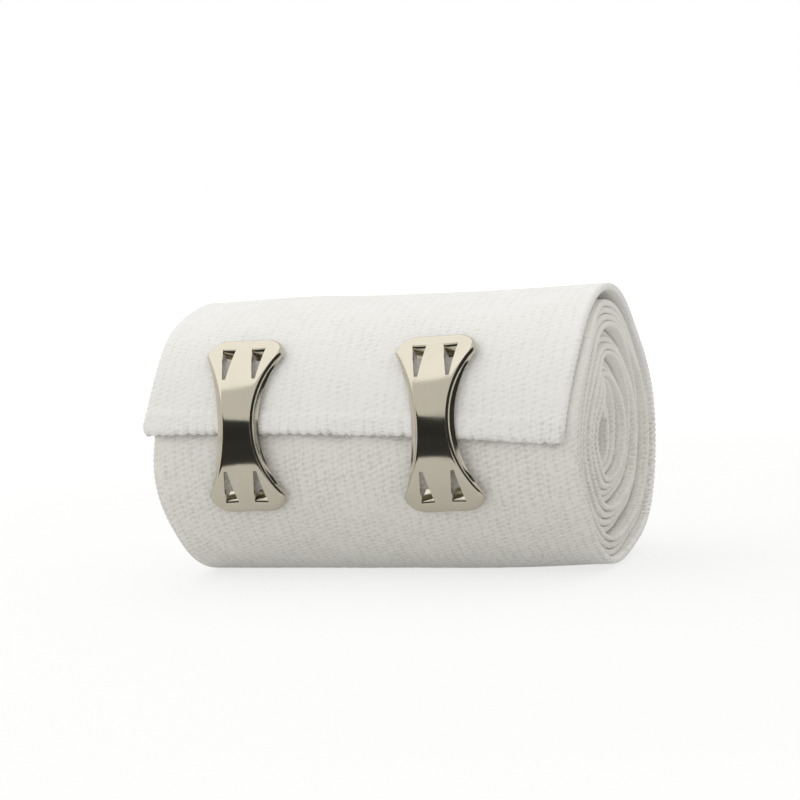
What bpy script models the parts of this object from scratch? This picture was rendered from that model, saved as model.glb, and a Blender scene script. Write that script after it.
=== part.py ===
"""Elastic bandage: one knitted strip wound into a roll, its free end held by two stamped metal clips.

The roll lies along X on the floor, with its free end at the front (-Y). The origin is on the floor under
the middle of the roll. Lengths are in metres and angles in degrees. Angles round the roll are measured in
the YZ plane, from +Y towards +Z, so that 90 is the top and 180 the front.
"""

import math

import bmesh
import bpy
from mathutils import Vector

# Strip and roll
STRIP_WIDTH = 0.075
STRIP_THICKNESS = 0.0010
TURN_GAP = 0.0003
ROLL_RADIUS = 0.0245
CORE_RADIUS = 0.0016
CORE_STRETCH = 0.0010
CORE_REACH = 0.0140
FOOT_WIDTH = 0.0100
FOOT_REACH = 0.0090

# Free end: its hem, where it lies round the roll, and how far askew it is laid
HEM_WIDTH = 0.0050
HEM_SLOPE = 0.0005
HEM_RISE = 0.0002
FREE_END_ANGLE = 178.3
FREE_END_SKEW = 3.1
SKEW_REACH = 0.035

# The turns under the last one sink away from it at the top of the right end, where it stands slack
EDGE_SLACK = 0.0017
EDGE_SLACK_REACH = 0.018
EDGE_SLACK_TURNS = 0.62

# Clips: a waisted plate with flared sides, and teeth bent down out of its windows
CLIP_LENGTH = 0.0305
CLIP_WIDTH = 0.0132
CLIP_WAIST = 0.0053
CLIP_CORNER = 0.0018
CLIP_SHEET = 0.00045
CLIP_SEAT_GAP = 0.0003
END_LIFT = 0.0010
FLANGE_DEPTH = 0.0008
FLANGE_SPREAD = 0.0011
FLANGE_FADE = 0.0060
WINDOW_LENGTH = 0.0060
WINDOW_WIDTH = 0.0025
WINDOW_SPACING = 0.0058
WINDOW_MARGIN = 0.0018
TOOTH_LENGTH = 0.0044
TOOTH_TIP = 0.0005
TOOTH_ANGLE = 62.0
POCKET_GAP = 0.0003

# How far the strip's edge stands to the side, turn by turn from the free end
EDGE_SHIFTS = [
    {"turns": 0.00, "width_share": -0.022},
    {"turns": 0.25, "width_share": 0.000},
    {"turns": 1.05, "width_share": 0.003},
    {"turns": 1.40, "width_share": -0.013},
    {"turns": 4.20, "width_share": -0.002},
    {"turns": 4.65, "width_share": -0.026},
    {"turns": 8.25, "width_share": -0.006},
    {"turns": 8.75, "width_share": -0.030},
    {"turns": 12.15, "width_share": -0.012},
    {"turns": 12.60, "width_share": -0.036},
    {"turns": 40.00, "width_share": -0.042},
]

# The two clips: middle along the strip's width, distance from the free edge in hem widths, and lean
CLIPS = [
    {"name": "clip_left", "width_share": -0.269, "hems_from_edge": 0.47, "lean": 0.6},
    {"name": "clip_right", "width_share": 0.201, "hems_from_edge": 0.67, "lean": 1.3},
]

# Facets in degrees, finer in the outer turns, and steps along the edges
FINE_FACET = 10.0
INNER_FACET = 20.0
CORE_FACET = 40.0
FINE_TURNS = 2.0
CORE_TURNS = 3.0
ACROSS_STEPS = 8
SIDE_STEPS = 12
CORNER_STEPS = 4
FLAT_ANGLE = 0.1

BOTTOM = -90.0
TURN_PITCH = STRIP_THICKNESS + TURN_GAP
TURNS = (ROLL_RADIUS - CORE_RADIUS - STRIP_THICKNESS) / TURN_PITCH
HEM_TURNS = HEM_WIDTH / (2.0 * math.pi * ROLL_RADIUS)
HEM_TOP_TURNS = (HEM_WIDTH - HEM_SLOPE) / (2.0 * math.pi * ROLL_RADIUS)
FOOT_SAG = ROLL_RADIUS - math.sqrt(ROLL_RADIUS**2 - (FOOT_WIDTH / 2.0) ** 2)
MERGE_DISTANCE = CLIP_SHEET / 20.0
OUTLINE_TOLERANCE = CLIP_SHEET / 4.0

CLOTH = {"name": "elastic_knit", "colour": (0.80, 0.78, 0.73, 1.0), "roughness": 0.95, "metallic": 0.0}
METAL = {"name": "nickel_plate", "colour": (0.78, 0.75, 0.70, 1.0), "roughness": 0.22, "metallic": 1.0}


def ease(value):
    """Smooth step from 0 to 1."""
    value = min(max(value, 0.0), 1.0)
    return value * value * (3.0 - 2.0 * value)


def edge_shift(turns):
    """Shift of the strip along X, so many turns from its free end."""
    for before, after in zip(EDGE_SHIFTS, EDGE_SHIFTS[1:]):
        if turns <= after["turns"]:
            share = ease((turns - before["turns"]) / (after["turns"] - before["turns"]))
            return STRIP_WIDTH * (before["width_share"] * (1.0 - share) + after["width_share"] * share)
    return STRIP_WIDTH * EDGE_SHIFTS[-1]["width_share"]


def skew_angle(turns, across):
    """Angle by which the askew free end runs ahead at a place across the strip."""
    fade = 1.0 - ease(turns * 2.0 * math.pi * ROLL_RADIUS / SKEW_REACH)
    ahead = math.tan(math.radians(FREE_END_SKEW)) * across * STRIP_WIDTH * fade
    return math.degrees(ahead / ROLL_RADIUS)


def turn_radius(turns, across):
    """Radius of the strip's outer face, so many turns from the free end."""
    wound = ROLL_RADIUS - TURN_PITCH * turns
    if turns < 1.0:
        return wound
    slack = EDGE_SLACK * ease(1.0 - (0.5 - across) * STRIP_WIDTH / EDGE_SLACK_REACH)
    sunk = math.sin(math.pi * ease((turns - math.floor(turns)) / EDGE_SLACK_TURNS))
    return wound - slack * sunk * max(wound, 0.0) / ROLL_RADIUS


def axis_height(across):
    """Height of the roll's axis over the floor, from the turn that rests on it."""
    return turn_radius((FREE_END_ANGLE - BOTTOM) / 360.0, across) - FOOT_SAG


def wind(turns, across, depth):
    """Point of the wound strip: turns from the free end, place across (-0.5 to 0.5), depth under its face."""
    angle = FREE_END_ANGLE - 360.0 * turns + skew_angle(turns, across)
    radius = turn_radius((FREE_END_ANGLE - angle) / 360.0, across) - depth
    turned = math.radians(angle)
    core = ease(1.0 - radius / CORE_REACH)
    z = axis_height(across) + radius * math.sin(turned)
    z += CORE_STRETCH * core * math.sin(turned)
    under = TURN_PITCH * math.floor(turns) + depth
    z = max(z, under * (1.0 - FOOT_SAG / FOOT_REACH))
    return Vector((across * STRIP_WIDTH + edge_shift(turns), radius * math.cos(turned), z))


def row_turns():
    """Places of the strip's rows, in turns from the free end: the hem, then facets at fixed angles."""
    rows = [0.0, HEM_TOP_TURNS, HEM_TURNS]
    shortest = HEM_TURNS - HEM_TOP_TURNS
    angle = FREE_END_ANGLE - 360.0 * HEM_TURNS
    while True:
        turns = (FREE_END_ANGLE - angle) / 360.0
        facet = FINE_FACET
        if turns > FINE_TURNS:
            facet = INNER_FACET
        if turns > TURNS - CORE_TURNS:
            facet = CORE_FACET
        angle = facet * (math.ceil(round(angle / facet, 3)) - 1)
        turns = (FREE_END_ANGLE - angle) / 360.0
        if turns > TURNS:
            return rows
        if turns > rows[-1] + shortest:
            rows.append(turns)


def new_piece(name, mesh, collection, look):
    """Object of a mesh, in its collection and with its material."""
    piece = bpy.data.objects.new(name, mesh)
    collection.objects.link(piece)
    material = bpy.data.materials.get(look["name"])
    if material is None:
        material = bpy.data.materials.new(look["name"])
        material.use_nodes = True
        shader = material.node_tree.nodes["Principled BSDF"]
        shader.inputs["Base Color"].default_value = look["colour"]
        shader.inputs["Roughness"].default_value = look["roughness"]
        shader.inputs["Metallic"].default_value = look["metallic"]
    mesh.materials.append(material)
    return piece


def make_strip(collection):
    """The strip: a flat slab, a row for each facet, wound into the roll."""
    rows = row_turns()
    steps = len(rows) - 1
    bm = bmesh.new()
    bmesh.ops.create_grid(bm, x_segments=ACROSS_STEPS, y_segments=steps, size=0.5)
    slab = bmesh.ops.extrude_face_region(bm, geom=bm.faces[:])
    inner = {item for item in slab["geom"] if isinstance(item, bmesh.types.BMVert)}
    for vert in bm.verts:
        turns = rows[round((vert.co.y + 0.5) * steps)]
        rise = HEM_RISE if turns <= HEM_TOP_TURNS else 0.0
        vert.co = wind(turns, vert.co.x, STRIP_THICKNESS if vert in inner else -rise)
    bm.normal_update()
    bmesh.ops.recalc_face_normals(bm, faces=bm.faces[:])
    bmesh.ops.dissolve_limit(bm, angle_limit=math.radians(FLAT_ANGLE), verts=bm.verts[:], edges=bm.edges[:])
    mesh = bpy.data.meshes.new("bandage_strip")
    bm.to_mesh(mesh)
    bm.free()
    return new_piece("bandage_strip", mesh, collection, CLOTH)


def side_radius():
    """Radius of the arc that waists each long side of a clip, and the reach of that arc from the middle."""
    reach = CLIP_LENGTH / 2.0 - CLIP_CORNER
    depth = (CLIP_WIDTH - CLIP_WAIST) / 2.0
    return (reach**2 + depth**2) / (2.0 * depth), reach


def side_rows():
    """Distances from the middle of a clip of the points along its sides, where it is also bent."""
    reach = side_radius()[1]
    return [reach * (2.0 * step / SIDE_STEPS - 1.0) for step in range(SIDE_STEPS + 1)]


def half_width(along):
    """Half the width of a clip at a distance from its middle."""
    radius, reach = side_radius()
    along = min(abs(along), reach)
    return CLIP_WAIST / 2.0 + radius - math.sqrt(radius**2 - along**2)


def clip_outline():
    """Points round the flat clip, anticlockwise."""
    reach = side_radius()[1]
    half = [(half_width(along), along) for along in side_rows()]
    centre = CLIP_WIDTH / 2.0 - CLIP_CORNER
    for step in range(1, CORNER_STEPS + 1):
        turned = math.radians(90.0 * step / CORNER_STEPS)
        half.append((centre + CLIP_CORNER * math.cos(turned), reach + CLIP_CORNER * math.sin(turned)))
    low = [(x, -y) for x, y in reversed(half[SIDE_STEPS + 1 :])]
    right = low + half
    return right + [(-x, y) for x, y in reversed(right)]


def window_places():
    """Centre of each window's base along X, and the end of the clip that it is at."""
    return [(side * WINDOW_SPACING / 2.0, end) for end in (-1.0, 1.0) for side in (-1.0, 1.0)]


def window_base():
    """Distance of the windows' bases from the middle of the clip."""
    return CLIP_LENGTH / 2.0 - WINDOW_MARGIN


def flat_clip():
    """The flat plate of a clip, with its four triangular windows, as a mesh in the XY plane."""
    loops = [clip_outline()]
    for x, end in window_places():
        base = end * window_base()
        apex = end * (window_base() - WINDOW_LENGTH)
        loops.append([(x - WINDOW_WIDTH / 2.0, base), (x + WINDOW_WIDTH / 2.0, base), (x, apex)])
    curve = bpy.data.curves.new("clip_outline", "CURVE")
    curve.dimensions = "2D"
    curve.fill_mode = "BOTH"
    for loop in loops:
        spline = curve.splines.new("POLY")
        spline.points.add(len(loop) - 1)
        for point, (x, y) in zip(spline.points, loop):
            point.co = (x, y, 0.0, 1.0)
        spline.use_cyclic_u = True
    guide = bpy.data.objects.new("clip_outline", curve)
    mesh = bpy.data.meshes.new_from_object(guide)
    bpy.data.objects.remove(guide)
    bpy.data.curves.remove(curve)
    return mesh


def circle_through(points):
    """Centre and radius of the circle through three points of a plane."""
    (ax, ay), (bx, by), (cx, cy) = points
    twice = 2.0 * (ax * (by - cy) + bx * (cy - ay) + cx * (ay - by))
    squares = (ax**2 + ay**2, bx**2 + by**2, cx**2 + cy**2)
    x = (squares[0] * (by - cy) + squares[1] * (cy - ay) + squares[2] * (ay - by)) / twice
    y = (squares[0] * (cx - bx) + squares[1] * (ax - cx) + squares[2] * (bx - ax)) / twice
    return x, y, math.hypot(ax - x, ay - y)


def face_radius(angle, across):
    """Radius of the roll's visible face at an angle, on the free end or on the turn below it."""
    turns = (FREE_END_ANGLE + skew_angle(0.0, across) - angle) / 360.0
    rise = HEM_RISE if 0.0 <= turns <= HEM_TURNS else 0.0
    return turn_radius(turns if turns >= 0.0 else turns + 1.0, across) + rise


class ClipSeat:
    """The arc on which a clip sits: through its two ends and its waist, each just clear of the cloth."""

    def __init__(self, width_share, hems_from_edge, lean):
        self.x = width_share * STRIP_WIDTH
        self.lean = math.radians(lean)
        back = math.degrees(hems_from_edge * HEM_WIDTH / ROLL_RADIUS)
        middle = FREE_END_ANGLE + skew_angle(0.0, width_share) - back
        reach = math.degrees(CLIP_LENGTH / 2.0 / ROLL_RADIUS)
        seats = []
        for angle, lift in ((middle - reach, END_LIFT), (middle, FLANGE_DEPTH), (middle + reach, END_LIFT)):
            radius = face_radius(angle, width_share) + CLIP_SEAT_GAP + lift
            turned = math.radians(angle)
            seats.append((radius * math.cos(turned), radius * math.sin(turned) + axis_height(width_share)))
        self.centre_y, self.centre_z, self.radius = circle_through(seats)
        self.middle = math.atan2(seats[1][1] - self.centre_z, seats[1][0] - self.centre_y)

    def bend(self, x, along, height):
        """Place on the roll of a point of the flat clip: X, distance towards its top, height over the cloth."""
        leant_x = x * math.cos(self.lean) - along * math.sin(self.lean)
        leant_along = x * math.sin(self.lean) + along * math.cos(self.lean)
        turned = self.middle - leant_along / self.radius
        radius = self.radius + height
        return Vector(
            (
                self.x + leant_x,
                self.centre_y + radius * math.cos(turned),
                self.centre_z + radius * math.sin(turned),
            )
        )


def tooth_step():
    """How far a tooth reaches towards the middle of the clip, and down."""
    lean = math.radians(TOOTH_ANGLE)
    return TOOTH_LENGTH * math.cos(lean), TOOTH_LENGTH * math.sin(lean)


def add_flanges(bm):
    """Flares the long sides of the flat clip down and outwards, most at the waist."""
    reach = side_radius()[1]
    sides = {
        vert
        for vert in bm.verts
        if abs(abs(vert.co.x) - half_width(vert.co.y)) < OUTLINE_TOLERANCE
        and abs(vert.co.y) < reach + OUTLINE_TOLERANCE
    }
    edges = [edge for edge in bm.edges if edge.is_boundary and set(edge.verts) <= sides]
    flared = bmesh.ops.extrude_edge_only(bm, edges=edges)
    for vert in flared["geom"]:
        if isinstance(vert, bmesh.types.BMVert):
            share = ease((reach - abs(vert.co.y)) / FLANGE_FADE)
            vert.co.z -= FLANGE_DEPTH * share
            vert.co.x += math.copysign(FLANGE_SPREAD * share, vert.co.x)
    bmesh.ops.remove_doubles(bm, verts=bm.verts[:], dist=MERGE_DISTANCE)


def add_teeth(bm):
    """Bends a tooth down from the base of each window."""
    inward, down = tooth_step()
    for x, end in window_places():
        base = end * window_base()
        root = {
            vert
            for vert in bm.verts
            if abs(vert.co.y - base) < MERGE_DISTANCE
            and abs(vert.co.x - x) < WINDOW_WIDTH / 2.0 + MERGE_DISTANCE
        }
        tooth = bmesh.ops.extrude_edge_only(bm, edges=[edge for edge in bm.edges if set(edge.verts) <= root])
        for vert in tooth["geom"]:
            if isinstance(vert, bmesh.types.BMVert):
                vert.co.x = x + (vert.co.x - x) * TOOTH_TIP / WINDOW_WIDTH
                vert.co.y -= end * inward
                vert.co.z -= down


def make_clip(name, seat, collection):
    """A clip: the flat plate with flared sides and bent teeth, curved over the roll and given its thickness."""
    flat = flat_clip()
    bm = bmesh.new()
    bm.from_mesh(flat)
    bpy.data.meshes.remove(flat)
    bmesh.ops.remove_doubles(bm, verts=bm.verts[:], dist=MERGE_DISTANCE)
    for along in side_rows()[1:-1]:
        geometry = bm.verts[:] + bm.edges[:] + bm.faces[:]
        bmesh.ops.bisect_plane(
            bm, geom=geometry, dist=MERGE_DISTANCE, plane_co=(0.0, along, 0.0), plane_no=(0.0, 1.0, 0.0)
        )
    bmesh.ops.dissolve_degenerate(bm, dist=MERGE_DISTANCE, edges=bm.edges[:])
    add_flanges(bm)
    add_teeth(bm)
    for vert in bm.verts:
        vert.co = seat.bend(*vert.co)
    bm.normal_update()
    bmesh.ops.recalc_face_normals(bm, faces=bm.faces[:])
    middle = Vector((seat.x, seat.centre_y, seat.centre_z))
    plate = min(bm.faces, key=lambda face: (face.calc_center_median() - seat.bend(0.0, 0.0, 0.0)).length)
    if plate.normal.dot(plate.calc_center_median() - middle) < 0.0:
        bmesh.ops.reverse_faces(bm, faces=bm.faces[:])
    mesh = bpy.data.meshes.new(name)
    bm.to_mesh(mesh)
    bm.free()
    piece = new_piece(name, mesh, collection, METAL)
    wall = piece.modifiers.new("sheet", "SOLIDIFY")
    wall.thickness = CLIP_SHEET
    wall.offset = 1.0
    return piece


def make_pockets(name, seat, collection):
    """One cutter for each tooth of a clip: the slot that the tooth makes in the cloth."""
    inward, down = tooth_step()
    for number, (x, end) in enumerate(window_places()):
        base = end * window_base()
        root = seat.bend(x, base, 0.0)
        tip = seat.bend(x, base - end * inward, -down)
        side = (seat.bend(x + WINDOW_WIDTH, base, 0.0) - root).normalized()
        run = (tip - root).normalized()
        face = run.cross(side)
        waist = seat.bend(x, 0.0, 0.0) - root
        face *= math.copysign(1.0, face.dot(waist))
        depth = CLIP_SHEET + 2.0 * POCKET_GAP
        taper = (WINDOW_WIDTH - TOOTH_TIP) / TOOTH_LENGTH
        bm = bmesh.new()
        bmesh.ops.create_cube(bm, size=1.0)
        for vert in bm.verts:
            beyond = POCKET_GAP if vert.co.z > 0.0 else -2.0 * TOOTH_LENGTH
            width = TOOTH_TIP + 2.0 * POCKET_GAP - taper * min(beyond, 0.0)
            place = tip + run * beyond + side * (vert.co.x * width)
            vert.co = place + face * (vert.co.y * depth + CLIP_SHEET / 2.0)
        bm.normal_update()
        bmesh.ops.recalc_face_normals(bm, faces=bm.faces[:])
        mesh = bpy.data.meshes.new(f"{name}_pocket_{number + 1}")
        bm.to_mesh(mesh)
        bm.free()
        cutter = bpy.data.objects.new(mesh.name, mesh)
        collection.objects.link(cutter)
        cutter.hide_render = True
        cutter.display_type = "WIRE"


def make_collection(name):
    """New collection in the scene."""
    collection = bpy.data.collections.new(name)
    bpy.context.scene.collection.children.link(collection)
    return collection


def main():
    for old in list(bpy.data.objects):
        bpy.data.objects.remove(old, do_unlink=True)
    parts = make_collection("elastic_bandage")
    cutters = make_collection("tooth_pockets")
    strip = make_strip(parts)
    for row in CLIPS:
        seat = ClipSeat(row["width_share"], row["hems_from_edge"], row["lean"])
        make_clip(row["name"], seat, parts)
        make_pockets(row["name"], seat, cutters)
    slots = strip.modifiers.new("tooth_pockets", "BOOLEAN")
    slots.operation = "DIFFERENCE"
    slots.operand_type = "COLLECTION"
    slots.collection = cutters
    slots.solver = "EXACT"
    cutters.hide_render = True


main()
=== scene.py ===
"""Looks of the rolled elastic bandage: its knitted strip, the sewn free end and the two stamped clips.

The roll lies along X on the floor, with its free end at the front (-Y). Angles round the roll are in
degrees in the YZ plane, from +Y towards +Z, so that 90 is the top and 180 the front. Places on the strip
are given in turns from the free end, a share across its width (-0.5 to 0.5) and a depth under its face.
"""

import math

import bmesh
import bpy
import numpy as np
from bpy.props import FloatProperty, FloatVectorProperty, IntProperty, PointerProperty
from mathutils import Matrix, Vector


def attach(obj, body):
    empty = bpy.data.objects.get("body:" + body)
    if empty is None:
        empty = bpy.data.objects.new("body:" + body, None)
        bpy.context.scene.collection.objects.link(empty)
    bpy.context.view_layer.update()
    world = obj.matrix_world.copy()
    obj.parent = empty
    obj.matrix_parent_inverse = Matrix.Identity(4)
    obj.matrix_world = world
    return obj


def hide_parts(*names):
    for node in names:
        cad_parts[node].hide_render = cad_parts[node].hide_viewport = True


bl_info = {
    "name": "Elastic bandage roll",
    "version": (1, 0, 0),
    "blender": (4, 5, 0),
    "location": "3D View > Sidebar > Bandage",
    "description": "A wound elastic bandage with its two stamped clips",
    "category": "Object",
}

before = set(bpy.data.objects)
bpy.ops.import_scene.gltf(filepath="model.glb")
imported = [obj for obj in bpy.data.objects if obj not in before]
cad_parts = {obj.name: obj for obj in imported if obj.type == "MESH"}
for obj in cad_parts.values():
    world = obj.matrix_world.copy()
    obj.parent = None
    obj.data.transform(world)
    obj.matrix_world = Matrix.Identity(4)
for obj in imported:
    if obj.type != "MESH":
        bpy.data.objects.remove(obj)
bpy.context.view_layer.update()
BODY = "root"

# How far the strip's edge stands to the side: turns from the free end, and share of the width
EDGE_SHIFTS = [
    (0.00, -0.022),
    (0.25, 0.000),
    (1.05, 0.003),
    (1.40, -0.013),
    (4.20, -0.002),
    (4.65, -0.026),
    (8.25, -0.006),
    (8.75, -0.030),
    (12.15, -0.012),
    (12.60, -0.036),
    (40.00, -0.042),
]

# Where the winding was started again less tightly, so that a gap shows under these turns
LOOSE_TURNS = [3.9, 8.0, 11.9]

# The two clips: middle along the strip's width, distance from the free edge in hem widths, and lean
CLIPS = [
    {"piece": "stamped_clip_left", "node": "clip_left", "width_share": -0.275, "hems": 0.43, "lean": 0.6},
    {"piece": "stamped_clip_right", "node": "clip_right", "width_share": 0.187, "hems": 0.62, "lean": 2.2},
]

TURN = 2.0 * math.pi

# Cross-sections of a clip's edge, step by step outwards: shares of its spread and of its depth
FLANGE_STEPS = [(0.10, 0.05), (0.18, 0.20), (0.25, 0.48), (0.34, 0.62), (0.64, 0.82), (1.0, 1.0)]
LIP_STEPS = [(0.20, 0.03), (0.40, 0.12), (0.58, 0.26), (0.75, 0.47), (0.90, 0.74), (1.0, 1.0)]

# Bulges and hollows of the roll: middle across, middle round it in degrees, and how far it stands out
BULGES = [
    (-0.50, 105.0, -0.0009),
    (-0.50, 135.0, 0.0004),
    (-0.50, 195.0, 0.0006),
    (-0.50, 225.0, 0.0012),
    (-0.50, 255.0, -0.0002),
    (0.00, 95.0, -0.0005),
    (0.27, 95.0, -0.0004),
    (0.50, 45.0, -0.0018),
    (0.50, 75.0, 0.0004),
    (0.50, 105.0, -0.0003),
    (0.50, 225.0, -0.0009),
    (0.50, 285.0, -0.0019),
    (0.50, 325.0, 0.0005),
]

# The same for places where the strip's edge stands to the right
ASIDES = [
    (-0.50, 110.0, 0.0004),
    (-0.50, 150.0, 0.0012),
    (-0.50, 190.0, -0.0005),
    (-0.50, 230.0, 0.0011),
    (0.50, 90.0, -0.0006),
    (0.50, 140.0, 0.0008),
    (0.50, 190.0, -0.0004),
    (0.50, 240.0, -0.0005),
]

# How far round its middle a bulge reaches: share of the width, and degrees
BULGE_REACH = (0.16, 24.0)
ASIDE_REACH = (0.10, 28.0)

# Soft unevenness of the whole roll: waves across it and round it, the phase of each, and its share
SWAY = [
    (1.0, 1.0, 0.4, 0.45),
    (2.2, 2.0, 1.9, 0.35),
    (3.7, 3.0, 4.1, 0.20),
]

# Small waves of the sewn edge: size, length and phase of each
STITCH_WAVES = [(0.00045, 0.0031, 0.0), (0.00025, 0.0013, 1.0)]
THREAD_WAVES = [(0.00012, 0.0021, 0.0), (0.00008, 0.00083, 0.0)]

# Grain of the cloth and of the metal, in patterns to the metre
FIBRE_GRAIN = 4200.0
FLUFF_GRAIN = 1250.0
WARP_GRAINS = (380.0, 560.0)
PATCH_GRAIN = 210.0
BLOTCH_GRAIN = 70.0
ROLLING_GRAIN = 900.0
WEAR_GRAIN = 260.0

# Heights over the floor between which the painted shade in the cloth's dimples and fluff fades out upwards,
# and lengths of strip between which the last turn's painted light fades and it darkens
PAINTED_SHADE_HEIGHTS = (0.020, 0.030)
PAINTED_LIGHT_LENGTHS = (0.105, 0.140)

# Mesh of a clip, for one half: rows to the windows, along a window and round the end, and columns
FLAT_ROWS = 8
WINDOW_ROWS = 8
CORNER_ROWS = 7
HALF_COLUMNS = 8
WINDOW_COLUMNS = (3, 4)
BEND_STEPS = 4
TOUCH = 1e-6


def length(name, description, default):
    """A size in metres that a user may change."""
    return FloatProperty(name=name, description=description, default=default, unit="LENGTH", precision=5)


def number(name, description, default):
    """A plain number that a user may change."""
    return FloatProperty(name=name, description=description, default=default)


def count(name, description, default):
    """A whole number that a user may change."""
    return IntProperty(name=name, description=description, default=default, min=1)


def colour(name, description, default):
    """A colour that a user may change."""
    return FloatVectorProperty(
        name=name, description=description, default=default, size=4, subtype="COLOR", min=0.0, max=1.0
    )


class RollSizes(bpy.types.PropertyGroup):
    """Sizes of the strip and of the roll that it is wound into."""

    strip_width: length("Strip width", "Width of the knitted strip", 0.075)
    pitch: length("Turn pitch", "Distance from one turn to the next", 0.0013)
    thickness: length("Thickness", "Thickness of the cloth", 0.00121)
    loosening: length("Loosening", "How much wider the gap is at a loose turn", 0.00042)
    radius: length("Roll radius", "Radius of the whole roll", 0.0245)
    core_radius: length("Core radius", "Radius of the hollow that the winding leaves", 0.0045)
    core_squeeze: length("Core squeeze", "How much narrower than round the core is", 0.0030)
    core_stretch: length("Core stretch", "How much taller than round the core is", 0.0010)
    core_reach: length("Core reach", "Radius inside which the core is stretched", 0.0140)
    foot_width: length("Foot width", "Width of the flat that the roll rests on", 0.0100)
    foot_reach: length("Foot reach", "Height over which the turns settle", 0.0090)
    free_end_angle: number("Free end angle", "Where the free end lies round the roll, in degrees", 176.5)
    free_end_skew: number("Free end skew", "How far askew the free end is laid, in degrees", 2.3)
    skew_reach: length("Skew reach", "Length of strip over which the skew fades", 0.035)
    edge_slack: length("Edge slack", "How far the turns sink away at the right", 0.0016)
    edge_slack_reach: length("Edge slack reach", "Width of the slack edge", 0.018)
    edge_slack_turns: number("Edge slack turns", "Share of a turn that stands slack", 0.52)
    sway: length("Sway", "Unevenness of the roll's face", 0.00022)


class KnitSizes(bpy.types.PropertyGroup):
    """Sizes of the knit, its edges and its hem."""

    wales: count("Wales", "Knitted columns across the strip", 44)
    wale_steps: count("Wale steps", "Mesh steps for each wale", 3)
    course: length("Course", "Height of one row of stitches", 0.00095)
    stagger: number("Stagger", "Share of a course by which each wale stands lower than the last", 0.73)
    relief: length("Relief", "How deep the dimples between the stitches are", 0.00005)
    edge_round: length("Edge round", "Width of the rounded selvedge", 0.00042)
    edge_tooth: length("Edge tooth", "How far the selvedge steps in and out at each course", 0.00011)
    edge_sway: length("Edge sway", "How far the selvedge wanders", 0.00022)
    hem_width: length("Hem width", "Width of the sewn hem", 0.0050)
    hem_rise: length("Hem rise", "Its extra thickness", 0.00030)
    scallop: length("Scallop", "Length of one scallop of the sewn edge", 0.0017)
    scallop_depth: length("Scallop depth", "Depth of the scallops", 0.00055)
    corner: length("Corner", "Radius of the free end's corners", 0.0016)
    end_bow: length("End bow", "How far the free end is drawn in at its middle", 0.00085)
    thread: length("Thread", "Radius of the sewing thread", 0.00030)
    thread_fluff: length("Thread fluff", "Its unevenness", 0.00010)


class ClipSizes(bpy.types.PropertyGroup):
    """Sizes of the stamped clips."""

    length: length("Clip length", "Length of the plate", 0.0301)
    width: length("Clip width", "Width of the plate's ends", 0.0120)
    waist: length("Clip waist", "Width of the plate's waist", 0.0046)
    corner: length("Clip corner", "Radius of the plate's corners", 0.0029)
    end_dip: length("End dip", "How far the ends are drawn in at their middle", 0.0003)
    sheet: length("Sheet", "Thickness of the metal", 0.00042)
    seat_gap: length("Seat gap", "Clearance over the cloth", 0.0003)
    end_lift: length("End lift", "How far the ends stand off the cloth", 0.0010)
    flange_depth: length("Flange depth", "How far the sides are turned down at the waist", 0.0008)
    flange_spread: length("Flange spread", "How far the sides flare out at the waist", 0.00125)
    flange_fade: length("Flange fade", "Length over which the flare fades at the ends", 0.0060)
    lip_depth: length("Lip depth", "How far the edge of the ends is turned down", 0.00065)
    lip_spread: length("Lip spread", "How far the edge of the ends flares out", 0.00075)
    crown: length("Crown", "How far the plate is arched across", 0.00007)
    window_length: length("Window length", "Length of a window", 0.0062)
    window_width: length("Window width", "Width of a window at its base", 0.0026)
    window_apex: length("Window apex", "Width of a window at its narrow end", 0.0006)
    window_spacing: length("Window spacing", "Distance between two windows", 0.0054)
    window_margin: length("Window margin", "Distance from a window's base to the plate's end", 0.0010)
    tooth_length: length("Tooth length", "Length of a tooth", 0.0044)
    tooth_tip: length("Tooth tip", "Width of a tooth's tip", 0.0005)
    tooth_bend: length("Tooth bend", "Radius of the bend at a tooth's root", 0.0005)
    tooth_angle: number("Tooth angle", "How steeply a tooth goes down, in degrees", 62.0)


class Finishes(bpy.types.PropertyGroup):
    """Colours of the cloth, the metal and the studio."""

    cloth: colour("Cloth", "Colour of the cotton", (0.864, 0.852, 0.800, 1.0))
    # The last turn's lighter colour here is painted light, which fades into the plain cloth colour under the
    # roll
    cloth_painted_light: colour("Taut cloth", "Colour of the last turn, drawn tight", (0.925, 0.915, 0.885, 1.0))
    # The colour between the stitches is painted shade in the dimples; the thread's fibres are also mixed with
    # it
    cloth_shade: colour("Cloth shade", "Colour between the stitches", (0.72, 0.70, 0.65, 1.0))
    # The thread's dark colour is painted shadow: it shows as a dark line under the free end's sewn edge
    thread: colour("Thread", "Colour of the sewing thread", (0.42, 0.41, 0.38, 1.0))
    metal: colour("Metal", "Colour of the plated steel", (0.635, 0.590, 0.485, 1.0))
    metal_worn: colour("Worn metal", "Colour where the plate is dull", (0.57, 0.53, 0.43, 1.0))
    floor: colour("Floor", "Colour of the studio floor", (0.62, 0.62, 0.61, 1.0))
    floor_glow: number("Floor glow", "Share of the floor's brightness that is its own", 0.53)
    floor_fill: number("Floor fill", "The same share as it lights the roll from below", 0.16)


def ease(value):
    """Smooth step from 0 to 1."""
    value = np.clip(value, 0.0, 1.0)
    return value * value * (3.0 - 2.0 * value)


def wander(place, waves):
    """Sum of soft waves along a place: size, length and phase of each."""
    return sum(size * np.sin(place / reach + phase) for size, reach, phase in waves)


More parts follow.
